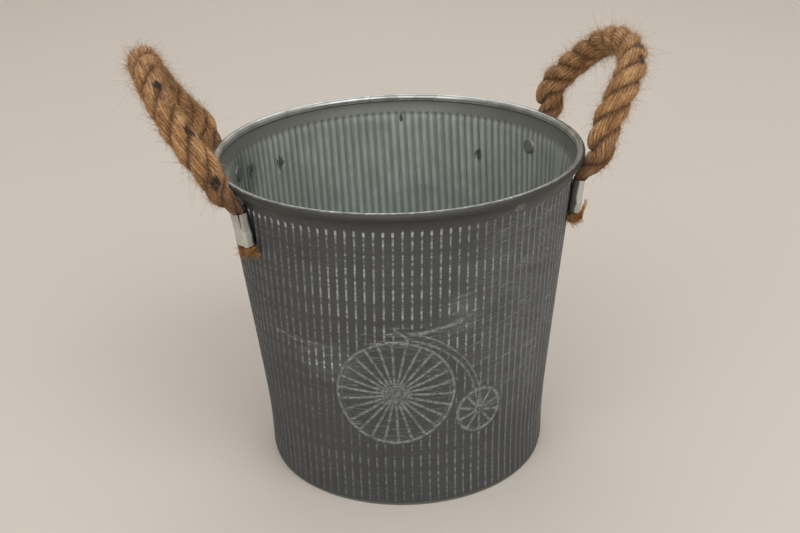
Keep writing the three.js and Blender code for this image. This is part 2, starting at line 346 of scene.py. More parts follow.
def rgb(red, green, blue):
    """A colour given as sRGB values up to 255, as linear light."""
    linear = []
    for value in (red, green, blue):
        value = value / 255
        linear.append(value / 12.92 if value <= 0.04045 else ((value + 0.055) / 1.055) ** 2.4)
    return (*linear, 1)


def zinc_nodes(name, light, dark):
    """Zinc coating with soft crystal patches: its nodes, its colour, a cloudy tone and a fine grain."""
    n = Nodes(name)
    place = n.position()
    patches = n.output("ShaderNodeTexVoronoi", "Color", {"Vector": place, "Scale": 130})
    patch = n.output("ShaderNodeSeparateColor", 0, {0: patches})
    cloud = n.noise(place, 45, 4, 0.6)
    fine = n.noise(place, 900, 2)
    colour = n.mix(n.step(patch * 0.25 + cloud * 0.75, 0.25, 0.75), dark, light)
    return n, colour, cloud, fine


# Places on the sheet and half sizes of the dark smudges inside
SMUDGES = [
    (-78.4, 151, 5, 7.5),
    (60.2, 157, 7, 7.5),
    (-27.2, 172, 2.2, 6.5),
    (89, 161, 7.5, 8),
    (100, 150, 5, 7),
]


def galvanised_inside(name, spots):
    """Bare zinc inside the bucket, with a little painted shade down in the grooves, a darker patch near the
    left rivet, and dark smudges at these spots.
    """
    n, colour, cloud, fine = zinc_nodes(name, rgb(184, 189, 182), rgb(164, 170, 162))
    s, z, raised = n.attribute("sheet")
    streak = n.stretched(s, z, 0.9, 0.05, 4, 0.6)
    # Painted shade: darker down in the grooves, broken up by streaks
    groove_shade = n.step(raised, 0.1, 0.75) * n.step(streak, 0.2, 0.7, 0.5, 0.9)
    # A darker patch round the left rivet, broken up by streaks
    darkening = n.blob(s, z, 101, 160, 26, 26) * n.step(streak, 0.3, 0.7, 0.28, 0.8)
    drip = n.step(n.stretched(s, z, 0.35, 0.02, 3, 0.55, 7), 0.5, 0.8, 0, 0.35)
    colour = n.coats(
        colour,
        (groove_shade, (124, 130, 121)),
        (darkening, (70, 76, 68)),
        (drip, (140, 147, 138)),
        (n.step(z, 171, 177, 0, 0.9), (106, 109, 102)),
    )
    if spots:
        ragged = n.stretched(s, z, 0.85, 0.2, 4, 0.7)
        smudges = [n.step(n.blob(s, z, *spot) * 0.5 + ragged, 0.88, 1.02) for spot in spots]
        colour = n.coats(colour, (n.most(*smudges) * 0.88, (40, 43, 39)))
    return n.finish(
        Base_Color=colour,
        Metallic=0.5,
        Roughness=n.step(cloud, 0.2, 0.8, 0.42, 0.6),
        Normal=n.bump(fine * 0.4 + cloud, 0.05, 0.6),
    )


def bare_zinc(name="bare_zinc", light=(150, 156, 149), dark=(112, 118, 111), metallic=0.6, shaded_sides=False):
    """Zinc with fine level scratches. On a piece with painted shade, its sheet attribute says where the
    shade is painted black.
    """
    n, colour, cloud, fine = zinc_nodes(name, rgb(*light), rgb(*dark))
    if shaded_sides:
        # Painted shade: black where the sheet attribute marks the sleeve's shaded sides
        darkening = n.attribute("sheet")[2]
        colour = n.coats(colour, (darkening * 0.9, (38, 38, 36)))
    squeezed = n.output("ShaderNodeMapping", 0, {0: n.position(), 3: (60, 60, 900)})
    scratch = n.noise(squeezed, 3, 4)
    return n.finish(
        Base_Color=colour,
        Metallic=metallic,
        Roughness=n.step(cloud, 0.2, 0.8, 0.3, 0.5),
        Normal=n.bump(scratch + fine, 0.03, 0.5),
    )


# Heights of the rows of dots that the brush left, and of the rows that it missed
DOT_ROWS = (150, 126, 103, 28, 16)
MISSED_ROWS = (162.5, 121, 94, 35)


def rubbed_paint(emblem):
    """Matt dark grey paint, dry-brushed pale along everything that stands proud."""
    n = Nodes("rubbed_paint_front" if emblem else "rubbed_paint_back")
    s, z, raised = n.attribute("sheet")
    if not emblem:
        s = s * -1 + 23
    grain = n.noise(n.position(), 1500, 3, 0.6)
    cloud = n.noise(n.position(), 28, 4, 0.55)
    fine = n.step(n.stretched(s, z, 1.3, 1.1, 3, 0.65, 4), 0.3, 0.62, 0.35)

    # Bands of missed brushing run round the bucket, so the dashes on neighbouring ribs line up.
    drift = n.stretched(s, z, 0.03, 0, 2) * 6 + (z - 3)
    rows = n.stretched(s, drift, 0.008, 0.23, 2, 0.55)
    own = n.stretched(s, z, 0.205, 0.46, 3, 0.6, 3)
    beads = n.step(rows * 0.45 + own * 0.55, 0.43, 0.59, 0.12)
    for height in MISSED_ROWS:
        beads = beads * n.step(abs(drift - height), 0.7, 2, 0.15)
    dots = n.most(*[n.step(abs(drift - height), 1.9, 0.6) for height in DOT_ROWS])
    dots = dots * n.step(own, 0.38, 0.55, 0.25)
    beads = n.most(beads, dots * 0.95, n.step(s, 5, 40, 0, 0.6))

    # The crests of the ribs are rubbed, most of all in a scuffed patch on the left, and so are their tops.
    patchy = n.step(n.stretched(s, z, 0.03, 0.025, 2, 0.5, 9), 0.3, 0.65, 0.6)
    bright = n.blob(s, z, -24, 136, 60, 74)
    weak = n.blob(s, z, -95, 45, 62, 62)
    scuffed = n.blob(s, z, -62, 91, 26, 15)
    strength = bright * 0.48 + 0.42 - weak * 0.2 + scuffed
    grit = n.stretched(s, z, 0.8, 0.55, 3, 0.7, 21)
    crest = n.step(grit * 0.8 + (raised - 0.4), 0.35, 0.9)
    tip = n.step(z, 170.8, 172) * n.step(z, 175, 173.6) * n.step(raised, 0.3, 0.7)
    tip = tip * n.step(s, 25, -5, 0.35, 1) * n.step(own, 0.38, 0.58, 0.3, 0.85)
    rub = n.most(crest * beads * patchy * strength * fine, tip)

    # A pale cloudy haze, rubbed smears on the left and a painted sheen of reflected light on the right, and
    # loose nearly level strokes across the ribs, mostly to the right
    loose = n.most(
        n.blob(s, z, 58, 120, 62, 95),
        n.blob(s, z, 9, 122, 16, 20),
        n.blob(s, z, -66, 92, 26, 16) * 0.8,
    )
    smear_and_sheen = n.step(n.stretched(s, z, 0.05, 0.16, 4, 0.65, 12), 0.3, 0.8)
    # The even pale lift over these regions is the haze: painted sheen on the right, rubbed smears on the
    # left
    rub = n.most(rub, brush_strokes(n, s, z, 8) * loose * 0.35) + (smear_and_sheen * 0.07 + 0.02) * loose
    scuff = n.blob(s, z, -86, 102, 34, 2.2) * n.step(own, 0.42, 0.6, 0.04, 0.4)
    scuff = scuff * n.step(raised, 0, 0.5, 0.35)
    chip = n.blob(s, z, 41.5, 177.5, 5, 3.4) * n.step(own, 0.3, 0.6, 0, 0.5)
    rub = n.most(rub, scuff, chip)
    if emblem:
        picture, zone, _ = n.attribute("picture")
        worn = n.step(n.stretched(s, z, 0.30, 0.34, 4, 0.65, 6), 0.36, 0.62, 0.22)
        above_wheel = n.blob(s, z, BIG_HUB[0] + 8, 111, 34, 9)
        rub = n.most(
            rub,
            n.step(picture, 0.1, 0.6) * worn * fine * 0.43,
            brush_strokes(n, s, z, 1) * zone * 0.3,
            brush_strokes(n, s, z, 2) * above_wheel * 0.7,
            n.blob(s, z, *BIG_HUB, 7.5, 8) * worn * 0.24,
        )
    rub = rub + n.step(n.stretched(s, z, 0.05, 1.5, 4, 0.6, 15), 0.45, 0.75, 0, 0.05)

    colour = n.coats(
        rgb(56, 58, 60),
        (n.step(cloud, 0.3, 0.7), (63, 65, 66)),
        (n.step(grain, 0.45, 0.75, 0, 0.2), (100, 100, 98)),
        (rub * n.step(grain, 0.3, 0.55, 0.7), (200, 205, 203)),
        # Darker under the rolled rim: partly the paint there, partly painted shade under the bead
        (n.step(z, 173.5, 181, 0, 0.75), (44, 44, 42)),
        (n.step(z, 2.2, 1.4), (88, 92, 84)),
    )
    return n.finish(
        Base_Color=colour,
        Roughness=n.step(rub + cloud * 0.5, 0.2, 1, 0.5, 0.75),
        Normal=n.bump(grain * 0.6 + rub * 0.8, 0.04, 0.8),
    )


def brush_strokes(n, s, z, degrees):
    """Thin broken strokes at this slope."""
    cosine, sine = cos(radians(degrees)), sin(radians(degrees))
    along, across = s * cosine + z * sine, z * cosine - s * sine
    streak = n.step(n.stretched(along, across, 0.05, 0.85, 4, 0.62, degrees), 0.52, 0.68)
    return streak * n.step(n.stretched(along, across, 0.28, 0.8, 3, 0.6, degrees + 5), 0.36, 0.60)


def rim_metal():
    """The rolled rim: bare zinc on top, and paint past a ragged line on its outer side."""
    n, colour, cloud, fine = zinc_nodes("rim_metal", rgb(192, 194, 188), rgb(150, 153, 147))
    s, angle, _ = n.attribute("sheet")
    past_line = angle - (n.stretched(s, angle, 0.22, 0.02, 5, 0.72) * 84 + 55)
    worn = n.step(past_line, 0, 9)
    painted = n.step(past_line, 12, 34)
    colour = n.coats(colour, (worn * 0.9, (98, 96, 91)), (painted, (52, 52, 50)))
    return n.finish(
        Base_Color=colour,
        Metallic=n.step(worn, 0, 1, 0.75, 0.05),
        Roughness=n.step(worn + cloud * 0.4, 0, 1.3, 0.22, 0.55),
        Normal=n.bump(fine + worn, 0.03, 0.4),
    )


def jute(name, light, middle, dark):
    """Jute yarn: streaks of fibre along each yarn, with painted shade between yarns and strands."""
    n = Nodes(name)
    around, along, depth = n.attribute("yarn")
    # The tint attribute holds each yarn's tone, its burnt knots, and painted shade on the rope's low parts
    tint, burnt, low = n.attribute("tint")
    fibre = n.stretched(around, along, 3.4, 0.34, 4, 0.7)
    mottle = n.noise(n.position(), 160, 4, 0.6)
    matted = n.step(n.noise(n.position(), 95, 3, 0.6), 0.42, 0.68, 0, 0.3)
    specks = n.noise(n.position(), 620, 3, 0.7)
    tone = fibre * 0.9 + tint * 0.3 + mottle * 0.5 + specks * 0.9 - 0.69
    colour = n.mix(n.step(tone, 0.25, 0.62), dark, middle)
    colour = n.mix(n.step(tone, 0.55, 0.95), colour, light)
    # Painted shade down between strands and yarns and on the strands' lower sides, less where fibres lie
    # matted
    crevice_shade = n.step(depth + matted, 0.94, 0.24, 0, 0.78)
    # Then painted shade low on the rope, and the dark burnt knots
    colour = n.coats(colour, (crevice_shade, (80, 50, 28)), (low * 0.62, (88, 58, 34)), (burnt * 0.96, (28, 21, 17)))
    return n.finish(
        Base_Color=colour,
        Roughness=0.9,
        Specular_IOR_Level=0.2,
        Sheen_Weight=0.15,
        Sheen_Roughness=0.6,
        Normal=n.bump(fibre * 0.8 + mottle * 0.4 + specks * 0.7, 0.22, 0.9),
    )


def loose_fibre(name, light, dark):
    """Single fibres, each a little lighter or darker than the next."""
    n = Nodes(name)
    tone = n.noise(n.position(), 220, 3)
    colour = n.mix(n.step(tone, 0.3, 0.7), dark, light)
    return n.finish(Base_Color=colour, Roughness=0.85, Specular_IOR_Level=0.2)


def floor_material():
    n = Nodes("studio_floor")
    tone = n.noise(n.position(), 1.3, 2)
    colour = n.coats(rgb(205, 196, 185), (n.step(tone, 0.2, 0.8), (208, 199, 188)))
    return n.finish(Base_Color=colour, Roughness=0.95, Specular_IOR_Level=0.1)


# ---- the wall panels

def wall_radius(z):
    """The outer radius at the crests of the ribs."""
    above = np.asarray(z, float) - FLARE_START
    return WAIST_RADIUS + FLARE * (np.hypot(above, FLARE_BLEND) + above) / 2


def valley_radius(z):
    """The outer radius between the ribs, flaring out to the rolled rim above them."""
    plain = wall_radius(z) - RIB_HEIGHT
    meets_curl = CURL_R - (CURL_RADIUS - SHEET)
    t = smoothstep(BAND_BOTTOM - 4, CURL_Z, z)
    return plain * (1 - t) + meets_curl * t


def rib_shape(s, crest, half_width):
    away = np.abs((s - crest + RIB_PITCH / 2) % RIB_PITCH - RIB_PITCH / 2)
    return np.where(away < half_width, np.cos(pi / 2 * away / half_width) ** 2, 0.0)


def stroke(distance, width, height=1.0):
    return height * np.clip(1 - (distance / (width / 2)) ** 2, 0, 1) ** 0.7


def line_distance(s, z, *corners):
    """Distance from each point to the line through these corners."""
    nearest = np.full(s.shape, np.inf)
    for (s0, z0), (s1, z1) in zip(corners, corners[1:]):
        along = ((s - s0) * (s1 - s0) + (z - z0) * (z1 - z0)) / ((s1 - s0) ** 2 + (z1 - z0) ** 2)
        t = np.clip(along, 0, 1)
        nearest = np.minimum(nearest, np.hypot(s - s0 - t * (s1 - s0), z - z0 - t * (z1 - z0)))
    return nearest


# The picture: its wheels' hubs and radii on the sheet, and the box that it lies in
BIG_HUB, BIG_WHEEL, BIG_SPOKES = (-27.7, 75.5), 32.5, 26
SMALL_HUB, SMALL_WHEEL, SMALL_SPOKES = (20.5, 57.8), 13.6, 10
EMBLEM_LOW, EMBLEM_HIGH = (-63.0, 40.0), (36.0, 120.0)
BACKBONE_FROM = radians(78)
BACKBONE_RADIUS = 37.0
BACKBONE_WIDTH = 2.1


def backbone_radius(angle):
    """Radius of the frame tube, which winds out to the small wheel's hub, and the share of its way."""
    run, rise = SMALL_HUB[0] - BIG_HUB[0], SMALL_HUB[1] - BIG_HUB[1]
    t = np.clip((BACKBONE_FROM - angle) / (BACKBONE_FROM - atan2(rise, run)), 0, 1)
    return BACKBONE_RADIUS + (hypot(run, rise) - BACKBONE_RADIUS) * t**2.2, t


def wheel(s, z, hub, radius, spokes, hub_radius, turn):
    """Rim, rim edge, hub rings and straight spokes of one wheel, and the distance from its hub."""
    x, y = s - hub[0], z - hub[1]
    distance = np.hypot(x, y)
    angle = np.arctan2(y, x) + turn
    step = 2 * pi / spokes
    off = np.abs((angle + step / 2) % step - step / 2) * distance
    spoke = stroke(off, 1.7, 0.95) * smoothstep(hub_radius, hub_radius + 2, distance)
    lines = [
        stroke(distance - radius, 2.0),
        stroke(distance - radius * 0.93, 0.9, 0.45),
        stroke(distance - hub_radius, 1.3, 0.8),
        stroke(distance, hub_radius * 0.9, 0.9),
        spoke * smoothstep(radius, radius - 1.5, distance),
    ]
    return np.maximum.reduce(lines), distance


def emblem_relief(s, z):
    """Height of the embossed picture, 0 to 1, and how far the ribs give way to it, 0 to 1."""
    big, big_distance = wheel(s, z, BIG_HUB, BIG_WHEEL, BIG_SPOKES, 5.2, 0.07)
    small, small_distance = wheel(s, z, SMALL_HUB, SMALL_WHEEL, SMALL_SPOKES, 2.2, 0.3)
    angle = np.arctan2(z - BIG_HUB[1], s - BIG_HUB[0])
    spine, t = backbone_radius(angle)
    inside = smoothstep(radians(84), BACKBONE_FROM, angle) * smoothstep(-0.345, -0.32, angle)
    half = BACKBONE_WIDTH * (1 - 0.35 * t)
    edges = [stroke(big_distance - spine - edge * half, 1.3, 0.95) * inside for edge in (-1, 1)]
    # Saddle above the backbone, handlebar ahead of the steering head, and a pedal at the hub
    saddle = line_distance(s, z, (-18.0, 113.0), (-6.0, 114.6), (8.0, 118.0))
    bar = line_distance(s, z, (-28.0, 116.5), (-22.0, 111.5), (-21.0, 107.5))
    pedal = line_distance(s, z, (BIG_HUB[0] + 2, BIG_HUB[1] - 3), (BIG_HUB[0] + 5, BIG_HUB[1] - 10))
    relief = [big, small, *edges, stroke(saddle, 2.2), stroke(bar, 1.6), stroke(pedal, 1.5)]
    zone = [
        smoothstep(BIG_WHEEL + 2.2, BIG_WHEEL + 0.8, big_distance),
        smoothstep(SMALL_WHEEL + 2.0, SMALL_WHEEL + 0.8, small_distance),
        smoothstep(half + 1.2, half, np.abs(big_distance - spine)) * inside,
        smoothstep(4.0, 2.5, np.minimum(saddle, bar)),
    ]
    return np.maximum.reduce(relief), np.maximum.reduce(zone)


def panel_columns(low, high, crest, fine):
    """Distances round the sheet from its reference line, with several on each rib."""
    plain = np.array([-1.3, -0.85, -0.42, 0.0, 0.42, 0.85, 1.3, 2.45])
    close = np.arange(-3, 9) * RIB_PITCH / 12
    columns = []
    for k in range(int(low / RIB_PITCH) - 2, int(high / RIB_PITCH) + 3):
        centre = crest + k * RIB_PITCH
        near = fine and EMBLEM_LOW[0] < centre < EMBLEM_HIGH[0]
        columns.append(centre + (close if near else plain))
    columns = np.unique(np.round(np.concatenate(columns), 4))
    return columns[(columns > low - RIB_PITCH) & (columns < high + RIB_PITCH)]


def panel_rows(fine_step):
    """Heights up the ribbed wall, closer at the ribs' ends and, where asked, across the picture."""
    rows = [1.4, 2.0, 2.8, 3.6, 4.6, 8.0, 14.0, 20.0, 27.0, 34.0]
    rows += [168.0, 171.0, 172.5, 173.4, 174.0, 174.6, 175.2, 175.8, 176.6, 178.0, 180.0, 182.0]
    rows += [126.0, 132.0, 138.0, 144.0, 150.0, 156.0, 162.0]
    low, high = EMBLEM_LOW[1], EMBLEM_HIGH[1]
    rows += list(np.linspace(low, high, int(round((high - low) / fine_step)) + 1))
    return np.array(sorted(rows))


def curl_arc(radius, steps):
    """(radius, height, degrees round the bead) from the wall over the top to the tucked edge."""
    arc = []
    for turn in np.linspace(180, -120, steps):
        x, z = radius * cos(radians(turn)), radius * sin(radians(turn))
        arc.append((CURL_R + x, CURL_Z + z, 180 - turn))
    return arc


def panel_rings(fine_step):
    """Every ring of the sheet, in order round its section: (radius, height, kind, degrees)."""
    foot = float(valley_radius(0))
    rings = [(float(valley_radius(z)), z, "outer", 0.0) for z in panel_rows(fine_step)]
    curl = curl_arc(CURL_RADIUS - SHEET, 13) + curl_arc(CURL_RADIUS, 37)[::-1]
    rings += [(radius, z, "curl", degrees) for radius, z, degrees in curl]
    inner_rows = panel_rows(max(fine_step * 2, 1.5))[::-1]
    rings += [(float(valley_radius(z)) - SHEET, z, "inner", 0.0) for z in inner_rows]
    hem = [(0.5, 0.9), (0.7, 0.6), (1.9, 0.6), (2.1, 0.9), (2.1, 3.8), (2.6, 3.8)]
    hem += [(2.6, 0.8), (2.45, 0.3), (2.0, 0.0), (0.6, 0.0), (0.15, 0.3), (0.0, 0.8)]
    rings += [(foot - inward, z, "hem", 0.0) for inward, z in hem]
    return rings


# The half widths and heights of the ribs on each skin
RIBS = {"outer": (RIB_HALF_WIDTH, RIB_HEIGHT), "inner": (INNER_RIB_HALF_WIDTH, INNER_RIB_HEIGHT)}


def make_panel(name, limits, line, crest, emblem, lap, materials):
    """One half of the wall as a ribbed sheet with its part of the rim and hem.

    The limits are its side edges' directions. Distances round it are from a line up the wall in
    its own direction, and the crest of a rib is this far from that line.
    """
    rings = panel_rings(0.75 if emblem else 6.5)
    low_turn, high_turn = limits[0] - line, limits[1] - line
    spare = 0 if lap else SEAM_GAP
    columns = panel_columns(RIM_RADIUS * low_turn - lap, RIM_RADIUS * high_turn + lap, crest, emblem)
    count = len(columns)
    points, sheet, drawn, spans = [], [], [], []
    for radius, z, kind, degrees in rings:
        arc_radius = float(wall_radius(CURL_Z if kind == "curl" else min(z, CURL_Z)))
        lapping = lap * float(smoothstep(178, 174, z) * smoothstep(1.0, 4.0, z))
        low = arc_radius * low_turn - lapping + spare
        high = arc_radius * high_turn + lapping - spare
        first = int(np.searchsorted(columns, low, side="right")) - 1
        spans.append((first, int(np.searchsorted(columns, high, side="left"))))
        s = np.clip(columns, low, high)
        edge = np.minimum(s - low, high - s)
        relief, picture, zone = np.zeros(count), np.zeros(count), np.zeros(count)
        out = np.full(count, float(radius))
        if kind in RIBS:
            half_width, depth = RIBS[kind]
            window = smoothstep(1.8, 4.2, z) * smoothstep(176.2, 174.2, z) * smoothstep(9.0, 11.0, edge)
            uneven = 1 + 0.06 * wavy(s * 0.35 + z * 0.02, 5)
            relief = rib_shape(s, crest, half_width) * window * uneven
            if emblem:
                picture, zone = emblem_relief(s, z)
                relief = relief * (1 - zone)
            out = out + depth * relief
            if kind == "outer":
                out = np.maximum(out, radius + picture * EMBOSS)
            dents = 0.22 * wavy(s * 0.045 + 0.4 * sin(z * 0.03), 11) * smoothstep(5, 40, z)
            out = out + dents * smoothstep(176, 150, z)
        if lap:
            out = out + (SHEET + SEAM_GAP) * smoothstep(8.0, 6.4, edge) * (lapping / lap)
        theta = line + s / arc_radius
        height = np.full(count, z)
        mark = np.full(count, degrees) if kind == "curl" else height
        points.append(np.stack([out * np.cos(theta), out * np.sin(theta), height], -1))
        sheet.append(np.stack([s, mark, np.clip(relief, 0, 1)], -1))
        drawn.append(np.stack([picture, zone, np.zeros(count)], -1))
    kinds = [ring[2] for ring in rings]
    return stitch_panel(name, kinds, spans, points, {"sheet": sheet, "picture": drawn}, materials)


def stitch_panel(name, kinds, spans, points, layers, materials):
    """Joins the rings with faces, leaving out the columns that fall past a ring's edge."""
    columns = np.arange(len(points[0]))
    used, number = [], 0
    for first, last in spans:
        used.append(np.clip(columns, first, last) - first + number)
        number += last - first + 1

    def kept(values):
        return np.concatenate([value[first : last + 1] for value, (first, last) in zip(values, spans)])

    slots = {"outer": 0, "inner": 1, "curl": 2, "hem": 3}
    faces, face_slots = [], []
    for i, here in enumerate(kinds):
        j = (i + 1) % len(kinds)
        kind = "curl" if here == "curl" else kinds[j]
        if {here, kinds[j]} == {"hem", "outer"}:
            kind = "outer"
        low, high = used[i], used[j]
        for k in columns[:-1]:
            face = face_of(low[k], low[k + 1], high[k + 1], high[k])
            if len(face) > 2:
                faces.append(face)
                face_slots.append(slots[kind])
    faces.append([int(row[0]) for row in used])
    faces.append([int(row[-1]) for row in used[::-1]])
    face_slots += [slots["inner"], slots["inner"]]
    attributes = {key: kept(values) for key, values in layers.items()}
    obj = make_object(name, kept(points), faces, materials, face_slots, attributes)
    sharpen(obj, 50)
    return obj


# ---- base

def make_base(material):
    """The base pan, pressed up in the middle with two shallow rings, its edge turned down."""
    edge = float(valley_radius(0)) - 1.0
    top, raised, thick = 5.0, 6.4, 0.6
    upper = [(0.0, raised), (18.0, raised), (20.0, raised - 0.5), (22.0, raised), (58.0, raised)]
    upper += [(60.0, raised - 0.1), (63.0, top + 0.25), (65.0, top), (edge - 3.0, top)]
    upper += [(edge - 1.0, top - 0.1), (edge - 0.3, top - 0.4), (edge, top - 1.0), (edge, 1.0)]
    under, under_middle = top - thick, raised - thick
    lower = [(edge - thick, 1.0), (edge - thick, top - 1.3), (edge - 1.5, under), (65.0, under)]
    lower += [(62.6, under + 0.3), (59.4, under_middle), (22.0, under_middle)]
    lower += [(20.0, under_middle - 0.5), (18.0, under_middle), (0.0, under_middle)]
    return lathe("base_pan", (upper + lower)[::-1], material)


# ---- clips

def clip_axes(x_sign, y_sign):
    """A clip's origin on the wall, and its outward, sideways and upward directions."""
    azimuth = atan2(y_sign * sin(HANDLE_ANGLE), x_sign * cos(HANDLE_ANGLE))
    slope = atan((wall_radius(SLEEVE_Z + 1) - wall_radius(SLEEVE_Z - 1)) / 2)
    radius = float(wall_radius(SLEEVE_Z))
    flat = np.array([cos(azimuth), sin(azimuth), 0])
    up = np.array([0, 0, 1.0])
    outward = flat * cos(slope) - up * sin(slope)
    steep = flat * sin(slope) + up * cos(slope)
    level = np.array([-sin(azimuth), cos(azimuth), 0])
    lean = x_sign * y_sign * SLEEVE_LEAN
    sideways = level * cos(lean) + steep * sin(lean)
    upward = steep * cos(lean) - level * sin(lean)
    origin = flat * radius + up * SLEEVE_Z
    return origin, outward, sideways, upward


def from_clip(axes, local):
    origin, outward, sideways, upward = axes
    local = np.asarray(local, float)
    return origin + local[:, :1] * outward + local[:, 1:2] * sideways + local[:, 2:3] * upward


def sleeve_outline(width, depth, corner):
    """A rectangle with round corners, as (depth, width) offsets from its middle."""
    x, y = depth / 2 - corner, width / 2 - corner
    turns = []
    for middle, start in (((x, y), 0), ((-x, y), 90), ((-x, -y), 180), ((x, -y), 270)):
        angles = np.radians(np.linspace(start, start + 90, 7))
        turns.append(middle + corner * np.column_stack([np.cos(angles), np.sin(angles)]))
    outline = []
    t = np.linspace(0, 1, 10)[1:-1, None]
    for turn, following in zip(turns, turns[1:] + turns[:1]):
        outline += [turn, (1 - t) * turn[-1] + t * following[0]]
    return np.concatenate(outline)


def make_sleeve(name, axes, seed, shade_reach, material):
    """A crimped metal sleeve: a flattened tube of sheet, dented a little where it was pressed.

    Its sides carry painted shade from the wall out to this far from its middle.
    """
    outer = sleeve_outline(SLEEVE_WIDTH, SLEEVE_DEPTH, SLEEVE_CORNER)
    bore = 2 * SLEEVE_SHEET
    inner = sleeve_outline(SLEEVE_WIDTH - bore, SLEEVE_DEPTH - bore, SLEEVE_CORNER - SLEEVE_SHEET)
    half = SLEEVE_HALF
    levels = [-half, -half + 0.12, -half + 0.4] + list(np.linspace(-half + 1.2, half - 1.2, 17))
    levels += [half - 0.4, half - 0.12, half]
    rings, darkening = [], []
    for skin, order in ((outer, levels), (inner, levels[::-1])):
        for w in order:
            shape = skin.copy()
            if skin is outer:
                lip = 0.12 * max(0, 1 - (half - abs(w)) / 0.4)
                shape = shape * (1 - np.array([2 * lip / SLEEVE_DEPTH, 2 * lip / SLEEVE_WIDTH]))
            front = smoothstep(0.5, 2.2, shape[:, 0])
            # Painted shade on the sides near the wall, with a ragged edge
            ragged = 0.4 * wavy(shape[:, 1] + w * 0.6, seed + 2)
            darkening.append(smoothstep(shade_reach + 0.6, shade_reach - 0.6, shape[:, 0] + ragged))
            flat = smoothstep(SLEEVE_WIDTH / 2 - 0.6, SLEEVE_WIDTH / 2 - 3.0, np.abs(shape[:, 1]))
            dent = 0.3 * exp(-(((w + 1.5) / 4.0) ** 2)) * np.exp(-((shape[:, 1] / 3.6) ** 2))
            waver = 0.12 * wavy(shape[:, 1] * 0.45 + w * 0.3, seed)
            shape[:, 0] -= front * flat * (dent + 0.12 + waver)
            shape[:, 1] += 0.1 * wavy(np.full(len(shape), w * 0.35), seed + 1)
            out, across = SLEEVE_MIDDLE + shape[:, 0], shape[:, 1]
            rings.append(np.column_stack([out, across, np.full(len(shape), w)]))
    points = from_clip(axes, np.concatenate(rings))
    faces = tube_faces(len(rings), len(outer), True)
    marks = np.zeros((len(points), 3))
    marks[:, 2] = np.concatenate(darkening)
    obj = make_object(name, points, faces, [material], attributes={"sheet": marks})
    sharpen(obj, 40)
    return obj


def make_rivet(name, axes, material):
    """A rivet lying along the clip's outward direction: a soft-edged flat head inside the bucket."""
    tail = SLEEVE_GAP + SLEEVE_SHEET
    profile = [(0, -2.3), (2.6, -2.28), (3.6, -2.15), (4.3, -1.9), (4.65, -1.6), (4.75, -1.35)]
    profile += [(4.7, -1.0), (2.0, -1.0), (2.0, tail), (2.9, tail + 0.05), (3.1, tail + 0.5)]
    profile += [(2.7, tail + 1.0), (0, tail + 1.1)]
    obj = lathe(name, profile, material, 48, 40)
    origin, outward, sideways, upward = axes
    turn = Matrix([sideways, upward, outward]).transposed().to_4x4()
    place = Vector(origin + RIVET_RISE * upward) * MM
    obj.data.transform(Matrix.Translation(place) @ turn)
    return obj


# ---- rope

def between(t, low, high, start, end):
    """Runs straight from the start to the end as t runs from low to high."""
    return (high - t) / (high - low) * start + (t - low) / (high - low) * end


def smooth_path(controls, step):
    """A centripetal Catmull-Rom curve through the points, in even steps."""
    controls = np.asarray(controls, float)
    ends = (2 * controls[0] - controls[1], 2 * controls[-1] - controls[-2])
    p = np.vstack([ends[0], controls, ends[1]])
    knots = np.concatenate([[0], np.cumsum(np.linalg.norm(np.diff(p, axis=0), axis=1) ** 0.5)])
    dense = []
    for i in range(1, len(p) - 2):
        t = np.linspace(knots[i], knots[i + 1], 40, endpoint=False)[:, None]
        t0, t1, t2, t3 = knots[i - 1 : i + 3]
        a1 = between(t, t0, t1, p[i - 1], p[i])
        a2 = between(t, t1, t2, p[i], p[i + 1])
        a3 = between(t, t2, t3, p[i + 1], p[i + 2])
        dense.append(between(t, t1, t2, between(t, t0, t2, a1, a2), between(t, t1, t3, a2, a3)))
    dense = np.vstack(dense + [p[-2:-1]])
    length = np.concatenate([[0], np.cumsum(np.linalg.norm(np.diff(dense, axis=0), axis=1))])
    even = np.linspace(0, length[-1], int(round(length[-1] / step)) + 1)
    points = np.stack([np.interp(even, length, dense[:, axis]) for axis in range(3)], -1)
    return points, even


def tangents_of(points):
    return unit(np.gradient(points, axis=0))


def carried_frames(points, start):
    """Two directions across the path at each point, carried along it without twisting."""
    tangents = tangents_of(points)
    normal = np.asarray(start, float)
    normals = []
    for tangent in tangents:
        normal = normal - (normal @ tangent) * tangent
        normal = normal / np.linalg.norm(normal)
        normals.append(normal)
    normals = np.array(normals)
    return normals, np.cross(tangents, normals)


